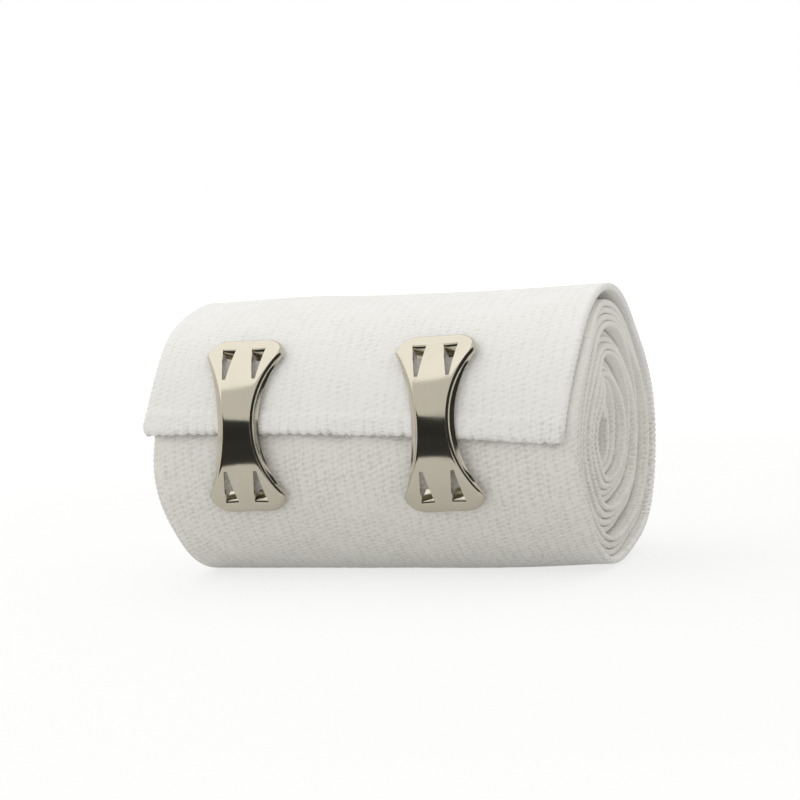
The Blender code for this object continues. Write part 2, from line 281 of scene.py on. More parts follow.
class Winding:
    """Where each place of the strip lies in the roll."""

    LOOSE_REACH = 0.75

    def __init__(self, roll):
        self.roll = roll
        self.turns = (roll.radius - roll.core_radius - roll.thickness) / roll.pitch
        self.known_turns, shares = np.array(EDGE_SHIFTS).T
        self.known_shifts = shares * roll.strip_width
        self.foot_sag = roll.radius - math.sqrt(roll.radius**2 - (roll.foot_width / 2.0) ** 2)

    def length_at(self, turns):
        """Length of strip from the free end, so many turns in."""
        return TURN * (self.roll.radius * turns - self.roll.pitch * turns**2 / 2.0)

    def turns_at(self, run):
        """Turns from the free end, after so much length of strip."""
        radius = self.roll.radius
        return (radius - np.sqrt(radius**2 - self.roll.pitch * run / math.pi)) / self.roll.pitch

    def edge_shift(self, turns):
        """Shift of the strip along X."""
        last = len(self.known_turns) - 2
        step = np.clip(np.searchsorted(self.known_turns, turns, side="right") - 1, 0, last)
        reach = self.known_turns[step + 1] - self.known_turns[step]
        share = ease((turns - self.known_turns[step]) / reach)
        return self.known_shifts[step] * (1.0 - share) + self.known_shifts[step + 1] * share

    def skew_angle(self, turns, across):
        """Angle by which the askew free end runs ahead at a place across the strip."""
        fade = 1.0 - ease(turns * TURN * self.roll.radius / self.roll.skew_reach)
        ahead = math.tan(math.radians(self.roll.free_end_skew)) * across * self.roll.strip_width * fade
        return np.degrees(ahead / self.roll.radius)

    def turn_radius(self, turns, across):
        """Radius of the strip's outer face. The turns under the last one sink away from its slack edge."""
        roll = self.roll
        wound = roll.radius - roll.pitch * turns
        slack = roll.edge_slack * ease(1.0 - (0.5 - across) * roll.strip_width / roll.edge_slack_reach)
        sunk = np.sin(math.pi * ease((turns - np.floor(turns)) / roll.edge_slack_turns))
        return wound - np.where(turns >= 1.0, slack * sunk * np.maximum(wound, 0.0) / roll.radius, 0.0)

    def axis_height(self, across):
        """Height of the roll's axis over the floor, from the turn that rests on it."""
        return self.turn_radius((self.roll.free_end_angle + 90.0) / 360.0, across) - self.foot_sag

    def thickness_at(self, turns):
        """Thickness of the cloth, which leaves a wider gap under a loose turn."""
        loose = 0.0
        for middle in LOOSE_TURNS:
            loose = loose + ease(1.0 - np.abs(turns - middle) / self.LOOSE_REACH) * self.roll.loosening
        return self.roll.thickness - loose

    def bulge(self, rows, reach, across, angle):
        """How far the rows of a table stand out together at a place."""
        whole = 0.0
        for middle, turned, rise in rows:
            beside = (across - middle) / reach[0]
            beyond = ((angle - turned + 180.0) % 360.0 - 180.0) / reach[1]
            whole = whole + rise * np.exp(-(beside**2) - beyond**2)
        return whole

    def place(self, turns, across, depth, shift=0.0):
        """Points of the wound strip, an array of X, Y and Z."""
        roll = self.roll
        angle = roll.free_end_angle - 360.0 * turns + self.skew_angle(turns, across)
        face = self.turn_radius((roll.free_end_angle - angle) / 360.0, across)
        turned = np.radians(angle)
        sway = 0.0
        for across_waves, round_waves, phase, share in SWAY:
            along = np.sin(TURN * across_waves * across + phase)
            sway = sway + share * along * np.cos(round_waves * turned + phase)
        uneven = roll.sway * sway + self.bulge(BULGES, BULGE_REACH, across, angle)
        radius = face - depth + uneven * np.maximum(face, 0.0) / roll.radius
        core = ease(1.0 - radius / roll.core_reach)
        z = self.axis_height(across) + radius * np.sin(turned) + roll.core_stretch * core * np.sin(turned)
        under = np.maximum(roll.pitch * np.floor(turns) + depth, 0.0)
        z = np.maximum(z, under * (1.0 - self.foot_sag / roll.foot_reach))
        aside = self.bulge(ASIDES, ASIDE_REACH, across, angle)
        x = across * roll.strip_width + self.edge_shift(turns) + aside + shift
        return np.stack([x, (radius - roll.core_squeeze * core) * np.cos(turned), z], axis=-1)


def add_object(name, data, material=None):
    """Object in the scene, with its material if it has one."""
    item = bpy.data.objects.new(name, data)
    bpy.context.scene.collection.objects.link(item)
    if material is not None:
        data.materials.append(material)
    return item


def finished_mesh(name, bm):
    """Mesh of a bmesh, which is freed."""
    mesh = bpy.data.meshes.new(name)
    bm.to_mesh(mesh)
    bm.free()
    return mesh


def in_order(bm):
    """The same shape with its parts in a fixed order, which an extrusion doesn't keep from run to run."""
    askew = Vector((1.0, 0.61, 0.37))
    fresh = bmesh.new()
    verts = sorted(bm.verts, key=lambda vert: vert.co.dot(askew))
    twins = {vert: fresh.verts.new(vert.co) for vert in verts}
    for face in sorted(bm.faces, key=lambda face: face.calc_center_median().dot(askew)):
        fresh.faces.new([twins[vert] for vert in face.verts])
    bm.free()
    return fresh


def finish_piece(name, mesh, material, nodes=()):
    """Object of a mesh that rides on the roll's body, with its material, slot and the nodes it stands for."""
    piece = add_object(name, mesh, material)
    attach(piece, BODY)
    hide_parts(*nodes)
    return piece


def wrapped_grid(name, columns, rows, place, cloth_place=None):
    """A closed tube: a grid whose last column meets its first, wrapped by a function and capped at both ends.

    place(column, row) gives the points. cloth_place(column, row) gives the cloth coordinates, if any.
    """
    bm = bmesh.new()
    bmesh.ops.create_grid(bm, x_segments=columns, y_segments=rows, size=0.5)
    mesh = finished_mesh(name, bm)
    flat = np.empty(len(mesh.vertices) * 3, dtype=np.float32)
    mesh.vertices.foreach_get("co", flat)
    flat = flat.reshape(-1, 3).astype(np.float64)
    column = np.rint((flat[:, 0] + 0.5) * columns).astype(int)
    row = np.rint((flat[:, 1] + 0.5) * rows).astype(int)
    mesh.vertices.foreach_set("co", place(column % columns, row).astype(np.float32).ravel())
    if cloth_place is not None:
        corner = np.empty(len(mesh.loops), dtype=np.int32)
        mesh.loops.foreach_get("vertex_index", corner)
        layer = mesh.uv_layers.new(name="cloth")
        layer.uv.foreach_set("vector", cloth_place(column, row)[corner].astype(np.float32).ravel())
    bm = bmesh.new()
    bm.from_mesh(mesh)
    bmesh.ops.remove_doubles(bm, verts=bm.verts[:], dist=1e-7)
    rims = [edge for edge in bm.edges if edge.is_boundary]
    caps = bmesh.ops.holes_fill(bm, edges=rims, sides=0)
    bmesh.ops.triangulate(bm, faces=caps["faces"])
    bm.normal_update()
    bmesh.ops.recalc_face_normals(bm, faces=bm.faces[:])
    bm.to_mesh(mesh)
    bm.free()
    mesh.shade_smooth()
    return mesh


class StripShape:
    """The knitted strip: its rounded cross-section, its relief and its hem."""

    EDGE_STEPS = 5
    EDGE_THICKNESS = 0.001
    SELVEDGE_REACH = 0.004
    END_SLOPE = 0.0009
    DRAWN_REACH = 0.0030

    def __init__(self, roll, knit, face_steps, inner_places):
        self.roll = roll
        self.knit = knit
        self.winding = Winding(roll)
        self.flat = roll.strip_width / 2.0 - knit.edge_round
        face = np.linspace(-1.0, 1.0, face_steps + 1) * self.flat
        bulge = np.radians(np.linspace(90.0, -90.0, self.EDGE_STEPS + 1))[1:-1]
        inner = np.array(inner_places) * self.flat
        right = self.flat + knit.edge_round * np.cos(bulge)
        depth = (1.0 - np.sin(bulge)) / 2.0
        self.side = np.concatenate([face, right, inner, -right[::-1]])
        self.depth = np.concatenate([np.zeros(len(face)), depth, np.ones(len(inner)), depth[::-1]])
        down = np.diff(self.depth, append=0.0) * self.EDGE_THICKNESS
        step = np.hypot(np.diff(self.side, append=self.side[0]), down)
        self.girth = np.concatenate([[0.0], np.cumsum(step)])

    @property
    def columns(self):
        return len(self.side)

    def relief(self, side, run):
        """How far the knitted face stands out: dimples where two slanted rows meet a wale."""
        knit = self.knit
        wale = (side / self.flat + 1.0) / 2.0 * knit.wales
        course = run / knit.course
        falling = np.cos(TURN * (knit.stagger * wale - course))
        rising = np.cos(TURN * ((1.0 - knit.stagger) * wale + course))
        upright = np.cos(TURN * wale)
        return -knit.relief * (0.45 * falling + 0.25 * rising + 0.30 * upright)

    def edge_wander(self, run, side):
        """How far a selvedge stands to the side: a slow wander and a tooth at each course."""
        knit = self.knit
        phase = np.where(side > 0.0, 0.0, 1.3)
        slow = wander(run, [(0.6, 0.0127, phase), (0.4, 0.0051, 2.0 * phase)])
        tooth = np.cos(TURN * run / knit.course)
        reach = ease((np.abs(side) - self.flat + self.SELVEDGE_REACH) / self.SELVEDGE_REACH)
        return np.sign(side) * reach * (knit.edge_sway * slow + knit.edge_tooth * tooth)

    def scallop(self, side):
        """Height of the sewn edge's soft scallops, from 0 at a stitch to 1 between two."""
        along = side + wander(side, STITCH_WAVES)
        return np.abs(np.sin(math.pi * along / self.knit.scallop)) ** 0.7

    def place(self, side, share, run):
        """Points of the strip, by place across, share of its depth, and length from its end.

        The hem is thicker between two stitches than at one, and the end is drawn in at each stitch.
        """
        knit = self.knit
        roll = self.roll
        scallop = self.scallop(side)
        hem = ease((knit.hem_width * (0.86 + 0.14 * scallop) - run) / self.END_SLOPE)
        end = ease(run / self.END_SLOPE)
        rise = knit.hem_rise * hem * (0.45 + 0.55 * scallop) + self.relief(side, run) * (1.0 - 0.6 * hem)
        rounded = np.clip((np.abs(side) - roll.strip_width / 2.0 + knit.corner) / knit.corner, 0.0, 1.0)
        back = knit.corner * (1.0 - np.sqrt(1.0 - rounded**2 * 0.98))
        bow = 1.0 - (2.0 * side / roll.strip_width) ** 2
        back = back + knit.scallop_depth * (1.0 - scallop) + knit.end_bow * bow
        moved = run + back * (1.0 - ease(run / self.DRAWN_REACH))
        turns = self.winding.turns_at(moved)
        thick = self.winding.thickness_at(turns)
        top = -rise * (1.0 - share)
        middle = 0.5 * thick
        depth = middle + (share * thick + top - middle) * (0.35 + 0.65 * np.sqrt(end))
        across = side / roll.strip_width
        return self.winding.place(turns, across, depth, self.edge_wander(run, side))

    def wound_mesh(self, name, start, end, row_length):
        """Mesh of the strip between two lengths from its free end."""
        rows = int(round((end - start) / row_length))

        def run(row):
            return start + (end - start) * row / rows

        def place(column, row):
            return self.place(self.side[column], self.depth[column], run(row))

        def cloth_place(column, row):
            return np.stack([self.girth[column], run(row)], axis=-1)

        return wrapped_grid(name, self.columns, rows, place, cloth_place)


class ClipShape:
    """A flat clip: its outline, its windows and the arc on which it sits."""

    def __init__(self, clip, roll, knit, row):
        self.clip = clip
        self.reach = clip.length / 2.0 - clip.corner
        depth = (clip.width - clip.waist) / 2.0
        self.side_radius = (self.reach**2 + depth**2) / (2.0 * depth)
        self.base = clip.length / 2.0 - clip.window_margin
        self.apex = self.base - clip.window_length
        self.x = row["width_share"] * roll.strip_width
        self.lean = math.radians(row["lean"])
        self.seat(Winding(roll), knit, row)

    def seat(self, winding, knit, row):
        """Finds the arc through the clip's two ends and its waist, each just clear of the cloth."""
        clip = self.clip
        roll = winding.roll
        share = row["width_share"]
        free = roll.free_end_angle + float(winding.skew_angle(0.0, share))
        middle = free - math.degrees(row["hems"] * knit.hem_width / roll.radius)
        reach = math.degrees(clip.length / 2.0 / roll.radius)
        hem_turns = knit.hem_width / (TURN * roll.radius)
        seats = []
        for step, lift in ((-1.0, clip.end_lift), (0.0, clip.flange_depth), (1.0, clip.end_lift)):
            angle = middle + step * reach
            turns = (free - angle) / 360.0
            rise = knit.hem_rise if 0.0 <= turns <= hem_turns else 0.0
            face = float(winding.turn_radius(turns if turns >= 0.0 else turns + 1.0, share)) + rise
            radius = face + clip.seat_gap + lift
            turned = math.radians(angle)
            height = float(winding.axis_height(share))
            seats.append(Vector((radius * math.cos(turned), radius * math.sin(turned) + height)))
        first, waist, last = seats
        rise = Matrix((waist - first, last - waist))
        across = Vector(((waist - first).dot(waist + first) / 2.0, (last - waist).dot(last + waist) / 2.0))
        self.centre = rise.inverted() @ across
        self.radius = (waist - self.centre).length
        self.middle = math.atan2(waist.y - self.centre.y, waist.x - self.centre.x)

    def half_width(self, along):
        """Half the plate's width at a distance from its middle."""
        clip = self.clip
        along = abs(along)
        if along <= self.reach:
            return clip.waist / 2.0 + self.side_radius - math.sqrt(self.side_radius**2 - along**2)
        beyond = min((along - self.reach) / clip.corner, 1.0)
        return clip.width / 2.0 - clip.corner + clip.corner * math.sqrt(1.0 - beyond**2)

    def outward(self, x, along):
        """Direction out of the outline at one of its points."""
        clip = self.clip
        centre = clip.width / 2.0 - clip.corner
        if abs(along) <= self.reach:
            out = Vector((clip.waist / 2.0 + self.side_radius - abs(x), -abs(along)))
        elif abs(x) > centre:
            out = Vector((abs(x) - centre, abs(along) - self.reach))
        else:
            out = Vector((0.0, 1.0))
        out.normalize()
        return Vector((math.copysign(out.x, x), math.copysign(out.y, along), 0.0))

    def flare(self, along, flange_step, lip_step):
        """How far a step of the edge stands out and is turned down at a distance from the middle."""
        clip = self.clip
        share = float(ease((self.reach - abs(along)) / clip.flange_fade))
        spread = clip.lip_spread * lip_step[0] * (1.0 - share) + clip.flange_spread * flange_step[0] * share
        depth = clip.lip_depth * lip_step[1] * (1.0 - share) + clip.flange_depth * flange_step[1] * share
        return spread, depth

    def bend(self, place):
        """Place on the roll of a point of the flat clip: X, distance towards its top, and height."""
        x, along, height = place
        half = self.clip.width / 2.0
        along *= 1.0 - self.clip.end_dip / self.reach * max(1.0 - (x / half) ** 2, 0.0)
        leant_x = x * math.cos(self.lean) - along * math.sin(self.lean)
        leant_along = x * math.sin(self.lean) + along * math.cos(self.lean)
        turned = self.middle - leant_along / self.radius
        radius = self.radius + height
        y = self.centre.x + radius * math.cos(turned)
        z = self.centre.y + radius * math.sin(turned)
        return Vector((self.x + leant_x, y, z))


def clip_rows(shape):
    """Distances from the clip's middle at which its mesh has a row, for one half."""
    rows = list(np.linspace(0.0, shape.apex, FLAT_ROWS + 1))
    rows += list(np.linspace(shape.apex, shape.base, WINDOW_ROWS + 1))[1:]
    past_base = shape.base + 0.00018
    first = math.asin(max((past_base - shape.reach) / shape.clip.corner, 0.0))
    for angle in np.linspace(first, math.pi / 2.0, CORNER_ROWS):
        rows.append(shape.reach + shape.clip.corner * math.sin(angle))
    return rows


def clip_columns(shape, along, in_window):
    """Places across the clip at which a row has its vertices, for one half from the middle out."""
    clip = shape.clip
    edge = shape.half_width(along)
    middle = clip.window_spacing / 2.0
    if abs(along) < shape.apex:
        middle *= edge / shape.half_width(shape.apex)
    half = 0.0
    if in_window:
        share = (abs(along) - shape.apex) / clip.window_length
        half = (clip.window_width * share + clip.window_apex * (1.0 - share)) / 2.0
    return np.concatenate(
        [
            np.linspace(0.0, middle - half, 4),
            np.linspace(middle - half, middle + half, 3)[1:],
            np.linspace(middle + half, edge, 4)[1:],
        ]
    )


def make_clip_mesh(name, shape):
    """The stamped plate: windows, arched face, flared edge and bent teeth, curved over the roll."""
    clip = shape.clip
    rows = clip_rows(shape)
    last_row = len(rows) - 1
    bm = bmesh.new()
    bmesh.ops.create_grid(bm, x_segments=2 * HALF_COLUMNS, y_segments=2 * last_row, size=0.5)
    windows = []
    for face in bm.faces:
        middle = face.calc_center_median()
        column = int(abs(middle.x) * 2 * HALF_COLUMNS)
        row = int(abs(middle.y) * 2 * last_row)
        if column in WINDOW_COLUMNS and FLAT_ROWS <= row < FLAT_ROWS + WINDOW_ROWS:
            windows.append(face)
    for vert in bm.verts:
        column = round(vert.co.x * 2 * HALF_COLUMNS)
        row = round(vert.co.y * 2 * last_row)
        along = rows[abs(row)]
        in_window = shape.apex <= along <= shape.base + TOUCH
        x = clip_columns(shape, along, in_window)[abs(column)]
        arch = 1.0 - (x / shape.half_width(along)) ** 2
        vert.co = (math.copysign(x, column), math.copysign(along, row), clip.crown * arch)
    bmesh.ops.delete(bm, geom=windows, context="FACES")
    bmesh.ops.remove_doubles(bm, verts=bm.verts[:], dist=TOUCH)
    rims = [edge for edge in bm.edges if edge.is_boundary]
    outline = [edge for edge in rims if all(on_outline(shape, vert.co) for vert in edge.verts)]
    inner = [edge for edge in rims if edge not in outline]
    bases = [edge for edge in inner if all(abs(abs(vert.co.y) - shape.base) < TOUCH for vert in edge.verts)]
    add_flare(bm, shape, outline)
    add_teeth(bm, shape, bases)
    for vert in bm.verts:
        vert.co = shape.bend(vert.co)
    bm.normal_update()
    bmesh.ops.recalc_face_normals(bm, faces=bm.faces[:])
    centre = Vector((shape.x, shape.centre.x, shape.centre.y))
    plate = min(bm.faces, key=lambda face: (face.calc_center_median() - shape.bend((0.0, 0.0, 0.0))).length)
    if plate.normal.dot(plate.calc_center_median() - centre) < 0.0:
        bmesh.ops.reverse_faces(bm, faces=bm.faces[:])
    mesh = finished_mesh(name, in_order(bm))
    mesh.shade_smooth()
    return mesh


def on_outline(shape, point):
    """Whether a point of the flat plate lies on its outline."""
    end = abs(point.y) > shape.clip.length / 2.0 - TOUCH
    return end or abs(abs(point.x) - shape.half_width(point.y)) < TOUCH


def add_flare(bm, shape, outline):
    """Turns the plate's edge down and outwards, through a rounded rim, a steep wall and a flat lip."""
    start = {}
    for edge in outline:
        for vert in edge.verts:
            start[vert] = vert.co.copy()
    for flange_step, lip_step in zip(FLANGE_STEPS, LIP_STEPS):
        grown = bmesh.ops.extrude_edge_only(bm, edges=outline)
        outline = [item for item in grown["geom"] if isinstance(item, bmesh.types.BMEdge)]
        outline = [edge for edge in outline if edge.is_boundary]
        moved = {}
        for vert in {vert for edge in outline for vert in edge.verts}:
            others = [other for other in linked(vert) if other in start]
            place = start[min(others, key=lambda other: (other.co - vert.co).length)]
            spread, depth = shape.flare(place.y, flange_step, lip_step)
            out = shape.outward(place.x, place.y)
            moved[vert] = place
            vert.co = place + out * spread - Vector((0.0, 0.0, depth))
        start = moved


def linked(vert):
    """Vertices joined to a vertex by an edge."""
    return [edge.other_vert(vert) for edge in vert.link_edges]


def add_teeth(bm, shape, bases):
    """Bends a tooth down from the base of each window, first round its bend and then straight."""
    clip = shape.clip
    lean = math.radians(clip.tooth_angle)
    steps = [(lean * step / BEND_STEPS, clip.tooth_bend, 0.0) for step in range(1, BEND_STEPS + 1)]
    straight = clip.tooth_length - clip.tooth_bend * lean
    steps += [(lean, clip.tooth_bend, straight * share) for share in (0.35, 0.7, 1.0)]
    for end in (-1.0, 1.0):
        for side in (-1.0, 1.0):
            edges = [
                edge
                for edge in bases
                if all(vert.co.y * end > 0.0 and vert.co.x * side > 0.0 for vert in edge.verts)
            ]
            middle = side * clip.window_spacing / 2.0
            height = edges[0].verts[0].co.z
            for turned, bend, run in steps:
                grown = bmesh.ops.extrude_edge_only(bm, edges=edges)
                verts = {item for item in grown["geom"] if isinstance(item, bmesh.types.BMVert)}
                edges = [edge for edge in bm.edges if set(edge.verts) <= verts]
                inward = bend * math.sin(turned) + run * math.cos(lean)
                down = bend * (1.0 - math.cos(turned)) + run * math.sin(lean)
                gone = (bend * turned + run) / clip.tooth_length
                half = clip.window_width / 2.0 * (1.0 - gone) + clip.tooth_tip / 2.0 * gone
                widest = max(abs(vert.co.x - middle) for vert in verts)
                for vert in verts:
                    vert.co.x = middle + (vert.co.x - middle) * half / widest
                    vert.co.y = end * (shape.base - inward)
                    vert.co.z = height - down


class Socket:
    """An output of a shader node, on which maths can be written as an expression."""

    def __init__(self, graph, output):
        self.graph = graph
        self.output = output

    def other(self, name):
        """Another output of the same node."""
        return Socket(self.graph, self.output.node.outputs[name])

    def maths(self, operation, *values):
        return self.graph.node("ShaderNodeMath", {"operation": operation}, dict(enumerate(values)))

    def __add__(self, value):
        return self.maths("ADD", self, value)

    def __radd__(self, value):
        return self.maths("ADD", value, self)

    def __sub__(self, value):
        return self.maths("SUBTRACT", self, value)

    def __rsub__(self, value):
        return self.maths("SUBTRACT", value, self)

    def __mul__(self, value):
        return self.maths("MULTIPLY", self, value)

    def __rmul__(self, value):
        return self.maths("MULTIPLY", value, self)

    def __truediv__(self, value):
        return self.maths("DIVIDE", self, value)

    def __rtruediv__(self, value):
        return self.maths("DIVIDE", value, self)

    def wave(self):
        return self.maths("SINE", self)

    def lift(self, low, high):
        """Smooth step of this value between two others."""
        values = {"Value": self, "From Min": low, "From Max": high}
        return self.graph.node("ShaderNodeMapRange", {"interpolation_type": "SMOOTHSTEP"}, values)


class Graph:
    """Nodes of one material, or of the room."""

    def __init__(self, name):
        self.material = bpy.data.materials.new(name)
        self.material.use_nodes = True
        self.tree = self.material.node_tree
        self.shader = self.tree.nodes["Principled BSDF"]

    @classmethod
    def of_tree(cls, tree):
        """The nodes of a tree that exists."""
        graph = cls.__new__(cls)
        graph.tree = tree
        return graph

    def node(self, kind, settings=None, values=None, output=0):
        """Adds a node, with its settings and the values or links of its sockets, and gives one output."""
        node = self.tree.nodes.new(kind)
        for name, value in (settings or {}).items():
            setattr(node, name, value)
        for name, value in (values or {}).items():
            self.join(value, node.inputs[name])
        return Socket(self, node.outputs[output])

    def join(self, value, target):
        """Links a socket to an input, or sets the input's own value."""
        if isinstance(value, Socket):
            self.tree.links.new(value.output, target)
        else:
            target.default_value = value

    def shade(self, **values):
        """Sets inputs of the shader, named with underscores for spaces."""
        for name, value in values.items():
            self.join(value, self.shader.inputs[name.replace("_", " ")])

    def mix(self, share, first, second):
        """A mix of two colours."""
        return self.node("ShaderNodeMix", {"data_type": "RGBA"}, {0: share, 6: first, 7: second}, output=2)

    def noise(self, place, scale, detail=2.0, roughness=0.5):
        values = {"Vector": place, "Scale": scale, "Detail": detail, "Roughness": roughness}
        return self.node("ShaderNodeTexNoise", None, values)

    def bump(self, height, distance, strength):
        values = {"Height": height, "Distance": distance, "Strength": strength}
        return self.node("ShaderNodeBump", None, values)


def knit_material(finishes, roll, knit):
    """The elastic knit: dimples between slanted rows of stitches, with fluff and a faint unevenness.

    Lower on the roll the dimples and the fluff carry more painted shade, so the tone there is darker. The
    last turn carries painted light, which fades under the roll towards its lower front.
    """
    graph = Graph("elastic_knit")
    cloth = graph.node("ShaderNodeUVMap", {"uv_map": "cloth"})
    spot = graph.node("ShaderNodeTexCoord", output="Object")
    place = graph.node("ShaderNodeSeparateXYZ", None, {0: cloth})
    warp = graph.noise(spot, WARP_GRAINS[0], 2.0)
    warp_along = graph.noise(spot, WARP_GRAINS[1], 2.0)
    wale_width = (roll.strip_width - 2.0 * knit.edge_round) / knit.wales
    wale = place / wale_width + (warp - 0.5) * 0.9
    course = place.other("Y") / knit.course + (warp_along - 0.5) * 1.1
    falling = ((wale * knit.stagger - course + 0.25) * TURN).wave()
    rising = ((wale * (1.0 - knit.stagger) + course + 0.25) * TURN).wave()
    upright = ((wale + 0.25) * TURN).wave()
    split = ((wale * 2.0 + 0.25) * TURN).wave()
    dimple = (falling * 0.38 + rising * 0.20 + upright * 0.17 + split * 0.25).lift(-0.5, 0.9)
    fibre = graph.noise(spot, FIBRE_GRAIN, 3.0, 0.65)
    fluff = graph.noise(spot, FLUFF_GRAIN, 3.0, 0.65)
    patchy = graph.noise(spot, PATCH_GRAIN, 3.0, 0.6).lift(0.30, 0.70)
    # Painted shade: stretched is 0 low on the roll and 1 high up, so lower down the dimples and the fluff
    # darken the colour more, and the bump is deeper
    stretched = graph.node("ShaderNodeSeparateXYZ", None, {0: spot}).other("Z").lift(*PAINTED_SHADE_HEIGHTS)
    depth = dimple * (patchy * 0.6 + 0.4) * (1.0 - stretched * 0.65)
    height = (1.0 - depth) * 0.9 + (fluff - 0.5) * 2.0 + (fibre - 0.5) * 0.5
    blotch = graph.noise(spot, BLOTCH_GRAIN, 3.0, 0.6)
    shade = depth * 1.4 + (fluff - 0.5) * 2.6 * (1.0 - stretched * 0.75) + (blotch - 0.5) * 0.30
    # Painted light: the last turn is lighter from its free end over the top and back, and fades to the plain
    # cloth colour under the roll and on its lower front
    loose = place.other("Y").lift(*PAINTED_LIGHT_LENGTHS)
    cloth_colour = graph.mix(loose, list(finishes.cloth_painted_light), list(finishes.cloth))
    graph.shade(
        Base_Color=graph.mix(shade.maths("MAXIMUM", shade, 0.0), cloth_colour, list(finishes.cloth_shade)),
        Roughness=0.95,
        Specular_IOR_Level=0.15,
        Sheen_Weight=0.25,
        Sheen_Roughness=0.6,
        Normal=graph.bump(height, 0.00014, 0.55),
    )
    return graph.material


def thread_painted_shadow_material(finishes):
    """Soft sewing thread, coloured dark as painted shadow along the free end's sewn edge."""
    graph = Graph("sewing_thread_painted_shadow")
    spot = graph.node("ShaderNodeTexCoord", output="Object")
    fibre = graph.noise(spot, FIBRE_GRAIN, 3.0, 0.6)
    graph.shade(
        Base_Color=graph.mix(fibre.lift(0.25, 0.75), list(finishes.thread), list(finishes.cloth_shade)),
        Roughness=0.9,
        Sheen_Weight=0.25,
        Sheen_Roughness=0.6,
        Normal=graph.bump(fibre, 0.0001, 0.6),
    )
    return graph.material


def metal_material(finishes):
    """Nickel-plated steel: soft polish with faint rolling marks and dull patches."""
    graph = Graph("nickel_plate")
    spot = graph.node("ShaderNodeTexCoord", output="Object")
    stretched = graph.node("ShaderNodeMapping", None, {"Vector": spot, "Scale": (9.0, 1.0, 1.0)})
    marks = graph.noise(stretched, ROLLING_GRAIN, 3.0, 0.6)
    dull = graph.noise(spot, WEAR_GRAIN, 3.0, 0.55).lift(0.45, 0.75)
    graph.shade(
        Base_Color=graph.mix(dull * 0.35, list(finishes.metal), list(finishes.metal_worn)),
        Metallic=1.0,
        Roughness=marks * 0.05 + dull * 0.04 + 0.07,
        Normal=graph.bump(marks, 0.00002, 0.25),
    )
    return graph.material


def floor_material(finishes):
    """Plain pale studio floor, which glows nearly white and lies in soft shade near what stands on it; a
    smaller share of its glow lights the roll from below as painted light.
    """
    graph = Graph("studio_floor")
    seen = graph.node("ShaderNodeLightPath")
    graph.shade(Base_Color=list(finishes.floor), Roughness=0.8, Specular_IOR_Level=0.0)
    glow = graph.node("ShaderNodeEmission", None, {"Color": (1.0, 1.0, 1.0, 1.0), "Strength": 1.32})
    matte = Socket(graph, graph.shader.outputs[0])
    spot = graph.node("ShaderNodeTexCoord", output="Object")
    away = graph.node("ShaderNodeVectorMath", {"operation": "LENGTH"}, {0: spot}, output="Value")
    whiter = away.lift(0.12, 0.60)
    own = whiter * (1.0 - finishes.floor_glow) + finishes.floor_glow
    # Painted light: camera rays see the floor's own glow, and other rays a smaller floor_fill share of it, so
    # the floor lights the roll from below
    share = seen * (own - finishes.floor_fill) + finishes.floor_fill
    shown = graph.node("ShaderNodeMixShader", None, {0: share, 1: matte, 2: glow})
    graph.join(shown, graph.tree.nodes["Material Output"].inputs["Surface"])
    return graph.material


class BANDAGE_OT_strip(bpy.types.Operator):
    """Winds the knitted strip: the last turn with its hem, and the turns under it."""

    bl_idname = "bandage.strip"
    bl_label = "Knitted strip"

    LAST_TURNS = 1.12
    COURSE_STEPS = 3.0
    OUTER_PLACES = (1.0, 0.96, 0.90, 0.6, 0.0, -0.6, -0.90, -0.96, -1.0)
    INNER_FACE_STEPS = 4

    def execute(self, context):
        scene = context.scene
        roll = scene.bandage_roll
        knit = scene.bandage_knit
        winding = Winding(roll)
        joint = float(winding.length_at(self.LAST_TURNS))
        whole = float(winding.length_at(winding.turns))
        material = knit_material(scene.bandage_finishes, roll, knit)
        row_length = knit.course / self.COURSE_STEPS
        last = StripShape(roll, knit, knit.wales * knit.wale_steps, self.OUTER_PLACES)
        mesh = last.wound_mesh("bandage_last_turn", 0.0, joint, row_length)
        outer = finish_piece("bandage_last_turn", mesh, material, ["bandage_strip"])
        under = StripShape(roll, knit, self.INNER_FACE_STEPS, self.OUTER_PLACES[1:-1])
        mesh = under.wound_mesh("bandage_inner_turns", joint, whole, row_length)
        inner = finish_piece("bandage_inner_turns", mesh, material, ["bandage_strip"])
        return {"FINISHED"}


class BANDAGE_OT_overlock(bpy.types.Operator):
    """Sews the thread over the free end of the strip."""

    bl_idname = "bandage.overlock"
    bl_label = "Sewn edge"

    THREAD_SIDES = 8
    LOOP_STEPS = 12

    def execute(self, context):
        scene = context.scene
        roll = scene.bandage_roll
        knit = scene.bandage_knit
        strip = StripShape(roll, knit, 4, [1.0, -1.0])
        length_sewn = roll.strip_width - 1.2 * knit.corner
        rows = int(length_sewn / knit.scallop * self.LOOP_STEPS)

        def line(row):
            """Thread's centre: along the edge, nearer to the cloth's inner face, and a little astray."""
            side = (row / rows - 0.5) * length_sewn
            share = 0.74 + wander(side, [(0.08, 0.0016, 0.0)])
            return strip.place(side, share, 0.00004 + wander(side, THREAD_WAVES))

        def place(column, row):
            centre = line(row)
            along = line(row + 0.5) - line(row - 0.5)
            along /= np.linalg.norm(along, axis=-1, keepdims=True)
            out = np.cross(along, [0.0, 0.0, 1.0])
            out /= np.linalg.norm(out, axis=-1, keepdims=True)
            beside = np.cross(along, out)
            side = (row / rows - 0.5) * length_sewn
            turned = TURN * column / self.THREAD_SIDES
            fluff = np.sin(row * 1.7 + 2.0 * turned) * np.sin(row * 0.61 + turned)
            radius = knit.thread * (0.72 + 0.36 * strip.scallop(side)) + knit.thread_fluff * fluff
            spoke = out * np.cos(turned)[:, None] + beside * np.sin(turned)[:, None]
            return centre + radius[:, None] * spoke

        mesh = wrapped_grid("end_overlock", self.THREAD_SIDES, rows, place)
        # The dark thread, just under the free end's edge, shows as its painted shadow line
        finish_piece("end_overlock", mesh, thread_painted_shadow_material(scene.bandage_finishes))
        return {"FINISHED"}


